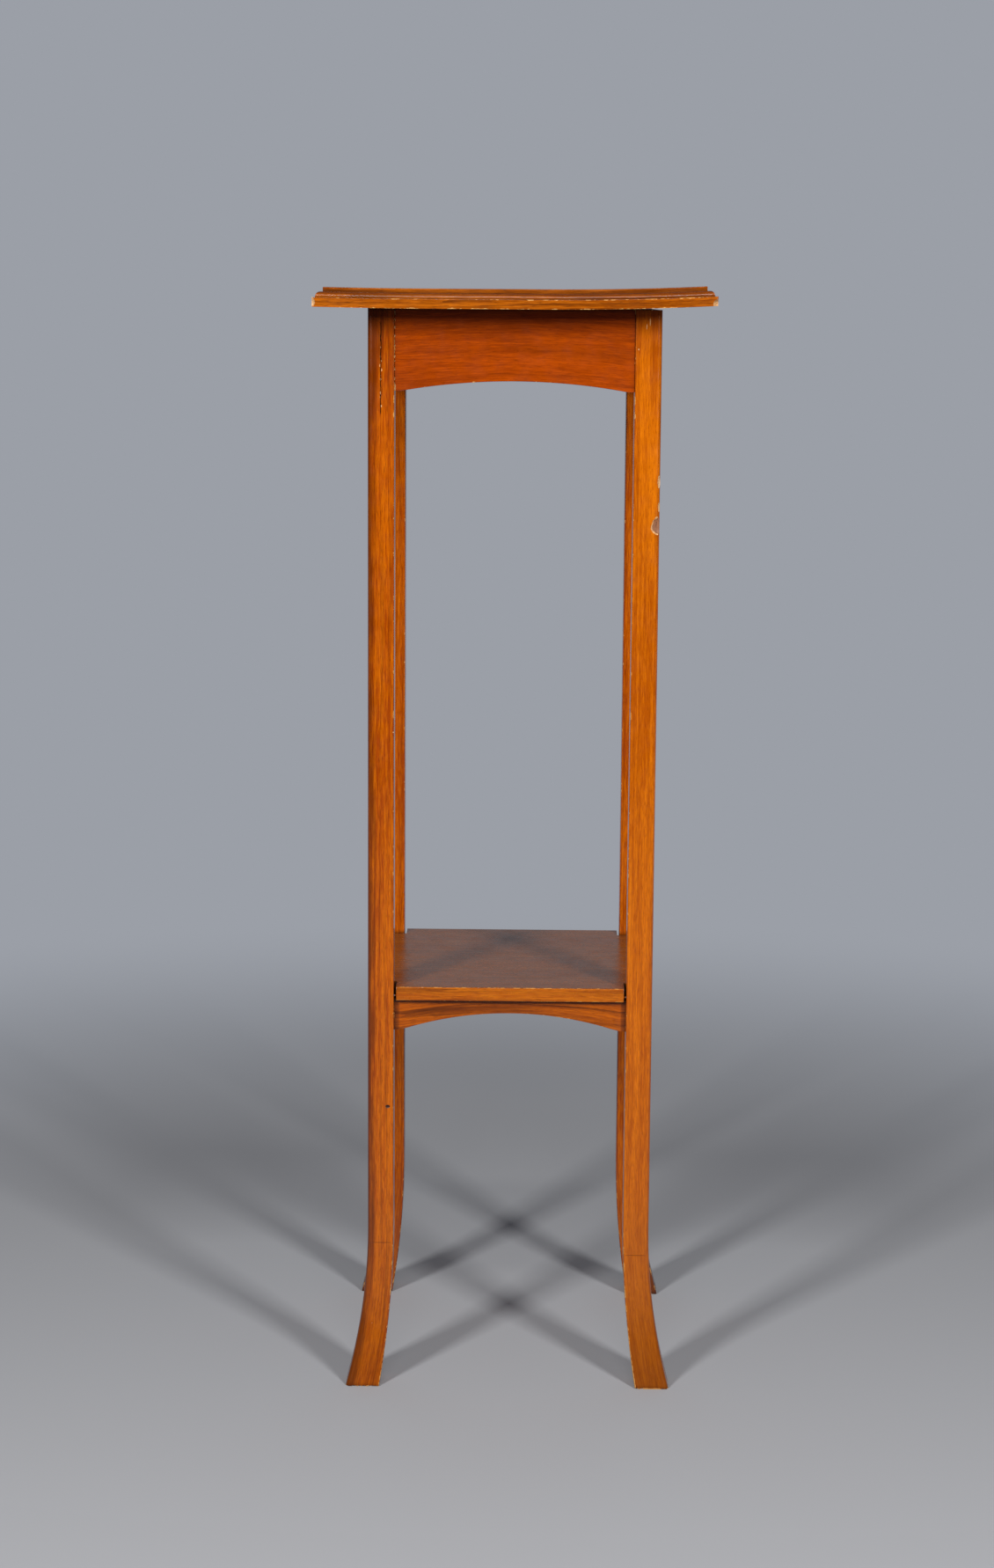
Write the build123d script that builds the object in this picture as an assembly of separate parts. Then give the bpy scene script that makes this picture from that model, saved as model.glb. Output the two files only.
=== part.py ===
from build123d import *
import math
import os

# A tall square plant stand of polished hardwood, about 1910: a moulded top on four slender legs
# with swept feet, four arched aprons under the top and a low shelf on four arched rails.
# Millimetres, +Z up. The origin is on the floor, in the middle of the four feet.
# The front faces -Y, and left and right are as seen from the front.

# Legs and the square frame they make
frame_width = 263.0        # over the outer faces of two legs
leg_side = 24.0
leg_height = 998.5
leg_corner = 4.0           # radius on the corner that faces out of the stand
leg_arris = 1.3            # radius worn on to the other three long edges
foot_arris = 0.8

# Swept feet: each face of the leg leaves the upright on an arc of its own
sweep_out_height = 148.0   # where the outer faces start to curve
sweep_out = 20.0           # how far they stand out at the floor
sweep_in_height = 150.0    # where the inner faces start to curve
sweep_in = 12.5

# Top board with its moulded edge, from the underside up
top_overhang = 46.5        # past the outer faces of the legs
top_thickness = 17.5
edge_band = 8.4            # plain upright edge
ovolo_ledge = 2.8          # step in from the edge to the quarter round
ovolo_upright = 0.5
ovolo_radius = 4.6
crown_ledge = 1.8          # step in from the quarter round to the raised field
crown_arris = 0.6
board_arris = 0.5
board_corner = 1.2         # radius worn on to the upright corners of the edge band

# The old board has bowed: it lies flat in the middle and its two ends have lifted
flat_to_left = 75.0        # from the centre to where the left end starts to rise
flat_to_right = 30.0
lift_left = 1.0
lift_right = 4.0
bow_tolerance = 0.1        # for finding the edges that lie on a bowed surface

# Aprons under the top
apron_height = 73.0        # at the two ends
apron_rise = 9.0           # height of the arch
apron_land = 6.0           # straight piece beside each leg
apron_thickness = 15.0
apron_setback = 1.75       # behind the outer face of the legs
apron_arris = 0.6

# Shelf and the rails that carry it
shelf_top = 379.0
shelf_thickness = 13.0
shelf_setback = 2.0
shelf_leg_gap = 2.0        # open joint round each leg
shelf_arris = 0.9
rail_height = 29.5         # at the two ends
rail_rise = 16.5
rail_land = 6.0
rail_thickness = 12.0
rail_setback = 9.0
rail_arris = 0.6

# Dowels that join aprons and rails to the legs. The rows are shares of a piece's height, down from
# its top. The side pieces have theirs between those of the front, so that they pass in the leg.
apron_dowel = 8.0          # diameter
apron_dowel_in_leg = 12.0
apron_dowel_in_apron = 16.0
apron_dowel_rows = {"across": (1 / 6, 4 / 6), "along": (2 / 6, 5 / 6)}
rail_dowel = 6.0
rail_dowel_in_leg = 11.0
rail_dowel_in_rail = 12.0
rail_dowel_rows = {"across": (0.3,), "along": (0.7,)}
dowel_clearance = 0.05     # on the radius
dowel_end_room = 1.0       # glue room at each end of a dowel
dowel_chamfer = 0.6

# Corner blocks behind the aprons, each with one screw up into the top
block_leg = 50.0           # length along each apron
block_height = 22.0
block_screw_inset = 19.0   # from the inner face of either apron
top_screw_bite = 10.0      # length in the top
top_screw_shank = 4.0
top_screw_head = 8.0

# Screws through the middle of each rail up into the shelf
shelf_screw_bite = 6.0     # length in the shelf
shelf_screw_shank = 3.5
shelf_screw_head = 7.0
screw_clearance = 0.05     # on the radius
screw_tip_room = 0.8
screw_tip = 3.0
screw_tip_radius = 0.3
slot_width = 0.9
slot_depth = 0.9

# Places that several pieces share
leg_outer = frame_width / 2
leg_inner = leg_outer - leg_side
top_width = frame_width + 2 * top_overhang
half_top = top_width / 2
apron_axis = leg_outer - apron_setback - apron_thickness / 2
apron_inner = leg_outer - apron_setback - apron_thickness
rail_axis = leg_outer - rail_setback - rail_thickness / 2
rail_top = shelf_top - shelf_thickness
rail_foot = rail_top - rail_height
block_screw_at = apron_inner - block_screw_inset
across = 4 * frame_width   # longer than anything it cuts

sides = {"left": -1, "right": 1}
ends = {"front": -1, "rear": 1}


def swept_profile():
    """The upright leg and its swept foot, seen square on to one pair of faces."""
    outline = [
        Line((leg_inner, leg_height), (leg_outer, leg_height)),
        Line((leg_outer, leg_height), (leg_outer, sweep_out_height)),
        TangentArc((leg_outer, sweep_out_height), (leg_outer + sweep_out, 0), tangent=(0, -1)),
        Line((leg_outer + sweep_out, 0), (leg_inner + sweep_in, 0)),
        TangentArc((leg_inner, sweep_in_height), (leg_inner + sweep_in, 0), tangent=(0, -1)),
        Line((leg_inner, sweep_in_height), (leg_inner, leg_height)),
    ]
    return make_face(outline)


def long_edges(leg, outward):
    """The edges that run up the right front leg: those of its outward corner or those of the others."""
    edges = []
    for edge in leg.edges():
        middle = edge.position_at(0.5)
        faces_out = min(middle.X, -middle.Y) > leg_outer - leg_arris
        if edge.bounding_box().size.Z > leg_arris and faces_out == outward:
            edges.append(edge)
    return edges


def leg_blank():
    """The right front leg before it is drilled: one sawn shape crossed with the same shape at 90 degrees."""
    profile = Plane.XZ * swept_profile()
    sawn_across = extrude(profile, across, both=True)
    sawn_along = Rot(0, 0, -90) * sawn_across
    leg = sawn_across & sawn_along
    leg = fillet(long_edges(leg, outward=False), leg_arris)
    leg = fillet(long_edges(leg, outward=True), leg_corner)
    floor_edges = leg.faces().sort_by(Axis.Z)[0].edges()
    return chamfer(floor_edges, foot_arris)


def dowel_pin(diameter, in_leg, in_piece):
    """A dowel along +X with the joint between the two pieces at X = 0 and the leg on the + side."""
    pin = Cylinder(diameter / 2, in_leg + in_piece)
    pin = chamfer(pin.edges().filter_by(GeomType.CIRCLE), dowel_chamfer)
    return Pos((in_leg - in_piece) / 2, 0, 0) * Rot(0, 90, 0) * pin


def dowel_hole(diameter, in_leg, in_piece):
    """The bore for the same dowel, a little wider and with glue room at both ends."""
    length = in_leg + in_piece + 2 * dowel_end_room
    bore = Cylinder(diameter / 2 + dowel_clearance, length)
    return Pos((in_leg - in_piece) / 2, 0, 0) * Rot(0, 90, 0) * bore


def joints_of(shape, axis_at, heights):
    """The shape at both ends of a front piece, at each height."""
    placed = []
    for height in heights:
        placed.append(Pos(leg_inner, -axis_at, height) * shape)
        placed.append(Pos(-leg_inner, -axis_at, height) * Rot(0, 0, 180) * shape)
    return placed


def turned(shapes, degrees):
    return [Rot(0, 0, degrees) * shape for shape in shapes]


def all_joints(shape, axis_at, top_at, height, rows):
    """The shape at every joint of the four pieces on one level."""
    heights = {way: [top_at - share * height for share in shares] for way, shares in rows.items()}
    front = joints_of(shape, axis_at, heights["across"])
    right = turned(joints_of(shape, axis_at, heights["along"]), 90)
    return front + right + turned(front, 180) + turned(right, 180)


def apron_joints(shape):
    return all_joints(shape, apron_axis, leg_height, apron_height, apron_dowel_rows)


def rail_joints(shape):
    return all_joints(shape, rail_axis, rail_top, rail_height, rail_dowel_rows)


apron_pins = apron_joints(dowel_pin(apron_dowel, apron_dowel_in_leg, apron_dowel_in_apron))
apron_bores = apron_joints(dowel_hole(apron_dowel, apron_dowel_in_leg, apron_dowel_in_apron))
rail_pins = rail_joints(dowel_pin(rail_dowel, rail_dowel_in_leg, rail_dowel_in_rail))
rail_bores = rail_joints(dowel_hole(rail_dowel, rail_dowel_in_leg, rail_dowel_in_rail))


def cornerwise(shape, side, end):
    """A piece made for the right front corner, moved to another corner by mirrors."""
    if side < 0:
        shape = mirror(shape, about=Plane.YZ)
    if end > 0:
        shape = mirror(shape, about=Plane.XZ)
    return shape


def arched_piece(height, rise, land, thickness, axis_at, top_at, arris):
    """A front apron or rail between two legs, with an arch sawn out of its lower edge."""
    foot = top_at - height
    spring = leg_inner - land
    outline = [
        Line((-leg_inner, foot), (-leg_inner, top_at)),
        Line((-leg_inner, top_at), (leg_inner, top_at)),
        Line((leg_inner, top_at), (leg_inner, foot)),
        Line((leg_inner, foot), (spring, foot)),
        ThreePointArc((spring, foot), (0, foot + rise), (-spring, foot)),
        Line((-spring, foot), (-leg_inner, foot)),
    ]
    board = Pos(0, -axis_at, 0) * extrude(Plane.XZ * make_face(outline), thickness / 2, both=True)
    arch_edges = [e for e in board.edges() if e.center().Z < foot + rise + arris
                  and abs(e.center().X) < leg_inner - arris and e.bounding_box().size.X > arris]
    return fillet(arch_edges, arris)


def apron_blank():
    return arched_piece(apron_height, apron_rise, apron_land, apron_thickness, apron_axis,
                        leg_height, apron_arris)


def rail_blank():
    return arched_piece(rail_height, rail_rise, rail_land, rail_thickness, rail_axis,
                        rail_top, rail_arris)


def turned_screw(length, shank, head, grow=0.0):
    """The round body of a countersunk wood screw that points up, with its head's face at Z = 0."""
    outline = Polyline(
        (0, 0),
        (head / 2 + grow, 0),
        (shank / 2 + grow, (head - shank) / 2),
        (shank / 2 + grow, length - screw_tip),
        (screw_tip_radius + grow, length),
        (0, length),
        close=True)
    return revolve(Plane.XZ * make_face(outline), Axis.Z)


def slotted_screw(length, shank, head):
    return turned_screw(length, shank, head) - Box(2 * head, slot_width, 2 * slot_depth)


def screw_hole(length, shank, head):
    return turned_screw(length + screw_tip_room, shank, head, screw_clearance)


def at_places(shape, places, height):
    return [Pos(x, y, height) * shape for x, y in places]


block_foot = leg_height - block_height
block_places = [(x * block_screw_at, y * block_screw_at) for x in (-1, 1) for y in (-1, 1)]
top_screw_size = (block_height + top_screw_bite, top_screw_shank, top_screw_head)
top_screws = at_places(slotted_screw(*top_screw_size), block_places, block_foot)
top_screw_holes = at_places(screw_hole(*top_screw_size), block_places, block_foot)

rail_crown = rail_foot + rail_rise
rail_middles = [(0, -rail_axis), (rail_axis, 0), (0, rail_axis), (-rail_axis, 0)]
shelf_screw_size = (rail_top - rail_crown + shelf_screw_bite, shelf_screw_shank, shelf_screw_head)
shelf_screws = at_places(slotted_screw(*shelf_screw_size), rail_middles, rail_crown)
shelf_screw_holes = at_places(screw_hole(*shelf_screw_size), rail_middles, rail_crown)


def bow_height(x, level):
    """The height at x of the bowed surface that lies at this level above the underside."""
    flat, lift = (flat_to_right, lift_right) if x > 0 else (flat_to_left, lift_left)
    bend = ((half_top - flat) ** 2 + lift ** 2) / (2 * lift) - level
    past = max(abs(x) - flat, 0)
    return leg_height + level + bend - math.sqrt(bend ** 2 - past ** 2)


def bowed_line(level):
    """The same surface seen from the front: an arc to each end and a straight run between them."""
    reach = half_top + board_arris
    foot = leg_height + level
    left_end = (-reach, bow_height(-reach, level))
    right_end = (reach, bow_height(reach, level))
    return [
        TangentArc((-flat_to_left, foot), left_end, tangent=(-1, 0)),
        TangentArc((flat_to_right, foot), right_end, tangent=(1, 0)),
        Line((-flat_to_left, foot), (flat_to_right, foot)),
    ]


def bowed_layer(low, high, inset):
    """One square layer of the board between two levels above its underside."""
    lower = bowed_line(low)
    upper = bowed_line(high)
    joins = [Line(lower[i] @ 1, upper[i] @ 1) for i in (0, 1)]
    slab = extrude(Plane.XZ * make_face(lower + upper + joins), across, both=True)
    side = top_width - 2 * inset
    return slab & Pos(0, 0, leg_height) * Box(side, side, 4 * top_thickness)


def rim(layer, level, inset):
    """The edges of a layer that run round it at this level."""
    edges = []
    for edge in layer.edges():
        middle = edge.position_at(0.5)
        outside = max(abs(middle.X), abs(middle.Y)) > half_top - inset - board_corner
        at_level = abs(middle.Z - bow_height(middle.X, level)) < bow_tolerance
        if outside and at_level:
            edges.append(edge)
    return edges


def edge_band_layer():
    """The lowest layer, with its worn upright corners and its two long arrises."""
    band = bowed_layer(0, edge_band, 0)
    corners = [e for e in band.edges() if abs(e.tangent_at(0.5).Z) > 0.5]
    band = fillet(corners, board_corner)
    band = fillet(rim(band, 0, 0), board_arris)
    return fillet(rim(band, edge_band, 0), board_arris)


def top_board():
    """The moulded top, bowed, with pilot holes for the screws that hold it down."""
    crown_foot = edge_band + ovolo_upright + ovolo_radius
    crown_inset = ovolo_ledge + ovolo_radius + crown_ledge
    ovolo = bowed_layer(edge_band, crown_foot, ovolo_ledge)
    ovolo = fillet(rim(ovolo, crown_foot, ovolo_ledge), ovolo_radius)
    crown = bowed_layer(crown_foot, top_thickness, crown_inset)
    crown = fillet(rim(crown, top_thickness, crown_inset), crown_arris)
    return (edge_band_layer() + ovolo + crown) - top_screw_holes


def shelf_board():
    """The square shelf, notched round the four legs and lying on the rails."""
    side = frame_width - 2 * shelf_setback
    mid = shelf_top - shelf_thickness / 2
    board = Pos(0, 0, mid) * Box(side, side, shelf_thickness)
    notch_at = leg_inner - shelf_leg_gap + across / 2
    for x in (-1, 1):
        for y in (-1, 1):
            board -= Pos(x * notch_at, y * notch_at, mid) * Box(across, across, 2 * shelf_thickness)
    outside = side / 2 - shelf_arris
    edges = [e for e in board.edges()
             if max(abs(e.center().X), abs(e.center().Y)) > outside]
    board = fillet(edges, shelf_arris)
    return board - shelf_screw_holes


def corner_block():
    """The right front block: three-cornered, glued behind two aprons and cut back to pass the leg."""
    tail = apron_inner - block_leg
    outline = Polyline(
        (apron_inner, -tail),
        (apron_inner, -leg_inner),
        (leg_inner, -leg_inner),
        (leg_inner, -apron_inner),
        (tail, -apron_inner),
        close=True)
    return Pos(0, 0, block_foot) * extrude(make_face(outline), block_height)


def make_all():
    """Every piece by the name it is stored under."""
    pieces = {"top_board": top_board(), "shelf_board": shelf_board()}
    leg = leg_blank()
    block = corner_block()
    for end_name, end in ends.items():
        for side_name, side in sides.items():
            name = f"{end_name}_{side_name}"
            pieces[f"{name}_leg"] = cornerwise(leg, side, end) - apron_bores - rail_bores
            pieces[f"{name}_corner_block"] = cornerwise(block, side, end) - top_screw_holes
    apron = apron_blank()
    rail = rail_blank()
    for name, degrees in (("front", 0), ("right", 90), ("rear", 180), ("left", 270)):
        pieces[f"{name}_apron"] = Rot(0, 0, degrees) * apron - apron_bores
        pieces[f"{name}_shelf_rail"] = Rot(0, 0, degrees) * rail - rail_bores - shelf_screw_holes
    pieces["apron_dowels"] = Compound(children=apron_pins)
    pieces["rail_dowels"] = Compound(children=rail_pins)
    pieces["top_screws"] = Compound(children=top_screws)
    pieces["shelf_screws"] = Compound(children=shelf_screws)
    return pieces


os.makedirs("parts", exist_ok=True)
for name, shape in make_all().items():
    export_step(shape, f"parts/{name}.step")
    print(name, round(shape.volume), "mm3")
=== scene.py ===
# %% [markdown]
# A polished wooden plant stand, about a metre tall, of the kind made around 1910. It has a moulded
# top on four slender legs with swept feet, arched aprons under the top, and a low shelf on arched
# rails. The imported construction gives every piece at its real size. This lesson dresses it: the
# wood that shows is modelled again with its worn corners and chips, each surface gets its finish,
# and a floor, lamps and a camera show the stand as in a plain studio.

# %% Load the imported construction
import math
import random

import bmesh
import bpy
from mathutils import Matrix, Vector, noise


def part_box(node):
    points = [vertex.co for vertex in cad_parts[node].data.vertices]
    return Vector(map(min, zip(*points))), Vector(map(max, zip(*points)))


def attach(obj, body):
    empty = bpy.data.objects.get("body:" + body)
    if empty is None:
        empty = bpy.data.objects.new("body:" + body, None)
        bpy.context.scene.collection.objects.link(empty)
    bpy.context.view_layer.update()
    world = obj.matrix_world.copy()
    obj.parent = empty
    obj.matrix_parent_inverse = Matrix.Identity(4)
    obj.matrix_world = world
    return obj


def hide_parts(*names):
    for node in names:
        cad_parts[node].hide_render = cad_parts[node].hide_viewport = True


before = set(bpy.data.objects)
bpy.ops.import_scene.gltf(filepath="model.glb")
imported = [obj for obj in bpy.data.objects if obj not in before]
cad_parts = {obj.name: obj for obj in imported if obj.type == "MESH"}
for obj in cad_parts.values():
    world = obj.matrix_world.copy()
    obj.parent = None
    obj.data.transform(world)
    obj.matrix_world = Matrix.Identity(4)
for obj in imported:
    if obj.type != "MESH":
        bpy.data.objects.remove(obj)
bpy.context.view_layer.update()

# %% [markdown]
# Lengths are metres in the scene, and makers of furniture think in millimetres, so sizes are
# written as millimetres times MM. Whatever the construction knows is read from it: a box of a
# node gives a leg's height or a shelf's level, and only what a box can't tell is named here.

# %% Sizes of the stand
MM = 0.001
LEG_SIDE = 24 * MM
SWEEP_OUT, SWEEP_OUT_HEIGHT = 20 * MM, 148 * MM
SWEEP_IN, SWEEP_IN_HEIGHT = 12.5 * MM, 150 * MM

leg_low, leg_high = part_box("front_right_leg")
leg_inner = leg_low.x
leg_outer = leg_inner + LEG_SIDE
leg_axis = (leg_inner + leg_outer) / 2
leg_height = leg_high.z
top_low, top_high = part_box("top_board")
half_top = top_high.x
shelf_low, shelf_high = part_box("shelf_board")
print("leg height", round(leg_height, 4), "top", [round(side, 4) for side in top_high - top_low])

# %% [markdown]
# Colours are written as the hex values a painting program shows. Those are sRGB, and a renderer
# works with linear light, so one function turns them.

# %% Turn a hex colour into linear light
def linear(text):
    """The linear colour, with alpha, of an sRGB hex value."""
    parts = [int(text[i:i + 2], 16) / 255 for i in (0, 2, 4)]
    return (*[c / 12.92 if c <= 0.04045 else ((c + 0.055) / 1.055) ** 2.4 for c in parts], 1.0)


# %% [markdown]
# A material is a small net of nodes. The sockets of a node take numbers, hex colours or what
# another node gives. One function fills the sockets of a node that is already there, such as the
# shader of a new material. Another adds a node of any kind with its settings, and hands back what
# it gives.

# %% Fill sockets and add nodes
FACTOR, FIRST, SECOND = 0, 6, 7             # the sockets of a Mix node that blends two colours
COLOURS = {"out": 2, "data_type": "RGBA"}   # what makes a Mix node blend colours


def fill(tree, node, sockets):
    """Fills sockets of a node with values, sRGB hex colours or outputs of other nodes."""
    for key, value in sockets.items():
        if isinstance(value, bpy.types.NodeSocket):
            tree.links.new(value, node.inputs[key])
        else:
            node.inputs[key].default_value = linear(value) if isinstance(value, str) else value


def add(tree, kind, sockets=None, out=0, **settings):
    """Adds a node with its settings and links. Returns one output, or all where out is None."""
    made = tree.nodes.new(kind)
    for name, value in settings.items():
        setattr(made, name, value)
    fill(tree, made, sockets or {})
    return made.outputs if out is None else made.outputs[out]


def new_material(name):
    """A new material, its tree of nodes and the shader in it."""
    material = bpy.data.materials.new(name)
    material.use_nodes = True
    return material, material.node_tree, material.node_tree.nodes["Principled BSDF"]


# %% [markdown]
# Wood is a solid material: its lines run through the board, along the faces and out at the end
# grain. A picture wrapped round a board can't do that, but a pattern that reads a point's place
# inside the board can. Each piece will carry three attributes in millimetres. "grain" is the
# place along, across and through the tree it was cut from, "board" the same from the middle of
# the board, and "half" the board's half sizes. The last two tell how near an arris a point is,
# where polish wears off first.

# %% Wear along the arrises
RUBBED_PATCH_MM = 7.0
SOUND, RUBBED = 0.55, 0.78    # the noise where rubbing starts, and where it reaches furthest


def worn_arrises(tree, reach, much):
    """Where the polish is rubbed off, 0 or 1: patches that hug the arrises of the board."""
    board = add(tree, "ShaderNodeAttribute", out="Vector", attribute_name="board")
    half = add(tree, "ShaderNodeAttribute", out="Vector", attribute_name="half")
    inside = add(tree, "ShaderNodeVectorMath", {0: board}, operation="ABSOLUTE")
    left_over = add(tree, "ShaderNodeVectorMath", {0: half, 1: inside}, operation="SUBTRACT")
    x, y, z = add(tree, "ShaderNodeSeparateXYZ", {0: left_over}, out=None)
    # On a face one of the three is nothing, so the middle one is the way to the nearest arris
    lower = add(tree, "ShaderNodeMath", {0: x, 1: y}, operation="MINIMUM")
    upper = add(tree, "ShaderNodeMath", {0: x, 1: y}, operation="MAXIMUM")
    upper = add(tree, "ShaderNodeMath", {0: upper, 1: z}, operation="MINIMUM")
    to_arris = add(tree, "ShaderNodeMath", {0: lower, 1: upper}, operation="MAXIMUM")
    rubbed = add(tree, "ShaderNodeTexNoise", {"Vector": board, "Scale": 1 / RUBBED_PATCH_MM,
                                              "Detail": 3.0, "Roughness": 0.65})
    rubbed = add(tree, "ShaderNodeMath", {0: rubbed, 1: much}, operation="ADD")
    width = add(tree, "ShaderNodeMapRange", {"Value": rubbed, "From Min": SOUND, "From Max": RUBBED,
                                             "To Max": reach})
    return add(tree, "ShaderNodeMath", {0: to_arris, 1: width}, operation="LESS_THAN")


# %% [markdown]
# The stand is stained hardwood under shellac, the thin amber polish that was rubbed on with a
# pad. To the eye that is a warm orange-brown with soft dark lines of growth, fine fibre, short
# pores, and a shine that is clear at a low angle. The lines are rings round the heart of the tree:
# the Wave texture draws rings, and a slow noise makes them wander. Streaks, fibre and pores are
# noises drawn out along the grain. An Ambient Occlusion node darkens the corners, where no cloth
# comes: old polish and dirt, and painted shade. Shellac has an index of refraction of about 1.5.

# %% Polished wood
SHELLAC_IOR = 1.5
RING_PERIOD = math.tau / 20    # the Wave texture turns 20 radians in one unit at scale 1
CORNER_REACH = 5 * MM
# Colours of the dirt and painted shade in corners, and of the darker feet
CORNER_DIRT_AND_SHADE, FOOT_DARK = "2a1206", "6c3814"
HEAD_MM = leg_height / 2 / MM    # the top of a leg and its sole, from the leg's middle
SOLE_MM = -HEAD_MM
FOOT_DARK_MM = 190                   # how far up a foot is darker and more worn
HEART_STARTS_MM, HEART_FULL_MM = 4.0, 10.0    # across a leg, from its middle to the outside
HEART_WIDER_MM, HEART_FLARE_MM = 9.0, 120     # it widens so much, so far below the leg's top
PAINTED_TOP_SHADE_MM, PAINTED_TOP_SHADE_FULL_MM, PAINTED_TOP_SHADE = 90, 10, 0.3    # painted shade close under the top board
DRY_ROUGHNESS = 0.6              # where the polish is rubbed through


def drawn_noise(tree, grain, length, width, detail=2.0, low=0.0, high=1.0, span=(0.35, 0.65)):
    """Noise of a length along the grain and a width across it, in mm, spread from low to high."""
    drawn = add(tree, "ShaderNodeVectorMath", {0: grain, 1: (1 / length, 1 / width, 1 / width)},
                operation="MULTIPLY")
    value = add(tree, "ShaderNodeTexNoise", {"Vector": drawn, "Scale": 1.0, "Detail": detail})
    return add(tree, "ShaderNodeMapRange", {"Value": value, "From Min": span[0],
                                            "From Max": span[1], "To Min": low, "To Max": high})


def polished_wood(name, pale, deep, line, ring_gap, ring_depth, wander=3.0, streak=(110, 3.2),
                  heartwood=0.0, feet=0.0, grime_and_shade="6e3c20", grime_and_shade_depth=0.0, worn="d99a4c",
                  reach=1.1, much=0.0, shine=(0.13, 0.24)):
    """Stained and polished wood, in millimetres and sRGB hex.

    Pale and deep are the tones of the fibre, line is the late wood, and streak is the length and
    width of its streaks. Heartwood, feet and grime_and_shade_depth say how strong each of these is;
    the feet darken towards the sole, and grime is a colour over what faces up, for old soiling and
    for painted shade. Worn polish reaches so far from an arris, and there is more of it as much
    grows.
    Shine is the least and the greatest roughness.
    """
    material, tree, shader = new_material(name)
    grain = add(tree, "ShaderNodeAttribute", out="Vector", attribute_name="grain")

    # Growth rings, squeezed along the grain so that they run far before they bend
    squeezed = add(tree, "ShaderNodeVectorMath", {0: grain, 1: (0.05, 1, 1)}, operation="MULTIPLY")
    drift = add(tree, "ShaderNodeTexNoise", {"Vector": squeezed, "Scale": 1 / 16, "Detail": 3.0},
                out="Color")
    drift = add(tree, "ShaderNodeVectorMath", {0: drift, 1: (0.5, 0.5, 0.5)}, operation="SUBTRACT")
    drift = add(tree, "ShaderNodeVectorMath", {0: drift, 1: (0, 5 * wander, 5 * wander)},
                operation="MULTIPLY")
    bent = add(tree, "ShaderNodeVectorMath", {0: squeezed, 1: drift}, operation="ADD")
    rings = add(tree, "ShaderNodeTexWave", {"Vector": bent, "Scale": RING_PERIOD / ring_gap},
                out="Fac", wave_type="RINGS", rings_direction="X", wave_profile="SAW")
    late = add(tree, "ShaderNodeMapRange", {"Value": rings, "From Min": 0.45, "From Max": 0.97},
               interpolation_type="SMOOTHSTEP")
    strength = drawn_noise(tree, grain, 150, 7, low=0.05 * ring_depth, high=ring_depth)
    late = add(tree, "ShaderNodeMath", {0: late, 1: strength}, operation="MULTIPLY")

    # Tone: broad bands, streaks and fine fibre
    broad = drawn_noise(tree, grain, 260, 26, low=-0.25, high=0.25)
    streaks = drawn_noise(tree, grain, *streak, detail=4.0, low=0.1, high=0.7)
    fibre = drawn_noise(tree, grain, 16, 1.2, low=-0.25, high=0.4)
    tone = add(tree, "ShaderNodeMath", {0: broad, 1: streaks}, operation="ADD")
    tone = add(tree, "ShaderNodeMath", {0: tone, 1: fibre}, operation="ADD", use_clamp=True)
    pores = drawn_noise(tree, grain, 6, 0.45, detail=1.0, high=0.5, span=(0.55, 0.72))
    layers = [(late, line), (pores, line)]

    # Heartwood on the outer side of a leg, which is wider near the leg's top
    board = add(tree, "ShaderNodeAttribute", out="Vector", attribute_name="board")
    along, outward, _ = add(tree, "ShaderNodeSeparateXYZ", {0: board}, out=None)
    if heartwood:
        wobble = drawn_noise(tree, grain, 60, 5, detail=3.0, low=-2.5, high=2.5)
        wider = add(tree, "ShaderNodeMapRange", {"Value": along,
                                                 "From Min": HEAD_MM - HEART_FLARE_MM,
                                                 "From Max": HEAD_MM, "To Max": HEART_WIDER_MM})
        outward = add(tree, "ShaderNodeMath", {0: outward, 1: wobble}, operation="ADD")
        outward = add(tree, "ShaderNodeMath", {0: outward, 1: wider}, operation="ADD")
        heart = add(tree, "ShaderNodeMapRange", {"Value": outward, "From Min": HEART_STARTS_MM,
                                                 "From Max": HEART_FULL_MM, "To Max": heartwood})
        layers.append((heart, line))

    # Scuffed feet that darken towards the sole, and painted shade close under the top board
    if feet:
        # The feet grow darker and more worn towards the sole
        toward_sole = add(tree, "ShaderNodeMapRange", {"Value": along, "From Min": SOLE_MM,
                                                "From Max": SOLE_MM + FOOT_DARK_MM, "To Min": feet,
                                                "To Max": 0.0})
        much = add(tree, "ShaderNodeMath", {0: toward_sole, 1: 0.35, 2: much}, operation="MULTIPLY_ADD")
        # Painted shade: the legs darken close under the top board
        painted_top_shade = add(tree, "ShaderNodeMapRange", {"Value": along, "From Min": HEAD_MM - PAINTED_TOP_SHADE_MM,
                                                  "From Max": HEAD_MM - PAINTED_TOP_SHADE_FULL_MM,
                                                  "To Max": PAINTED_TOP_SHADE})
        layers += [(toward_sole, FOOT_DARK), (painted_top_shade, line)]

    # Grime and painted shade: a film on what faces up, and a dark line in the corners
    normal = add(tree, "ShaderNodeNewGeometry", out="Normal")
    upward = add(tree, "ShaderNodeSeparateXYZ", {0: normal}, out="Z")
    film = add(tree, "ShaderNodeMapRange", {"Value": upward, "From Min": 0.1, "From Max": 0.9,
                                            "To Max": grime_and_shade_depth})
    specks = drawn_noise(tree, grain, 2.2, 1.3, low=0.75, high=1.25)
    film = add(tree, "ShaderNodeMath", {0: film, 1: specks}, operation="MULTIPLY")
    # Dirt and painted shade: a dark line in the corners and recesses that ambient occlusion finds
    open_air = add(tree, "ShaderNodeAmbientOcclusion", {"Distance": CORNER_REACH}, out="AO",
                   samples=6)
    corner = add(tree, "ShaderNodeMapRange", {"Value": open_air, "From Min": 0.45,
                                              "From Max": 0.97, "To Min": 0.85, "To Max": 0.0})
    rubbed = worn_arrises(tree, reach, much)
    layers += [(film, grime_and_shade), (corner, CORNER_DIRT_AND_SHADE), (rubbed, worn)]

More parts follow.
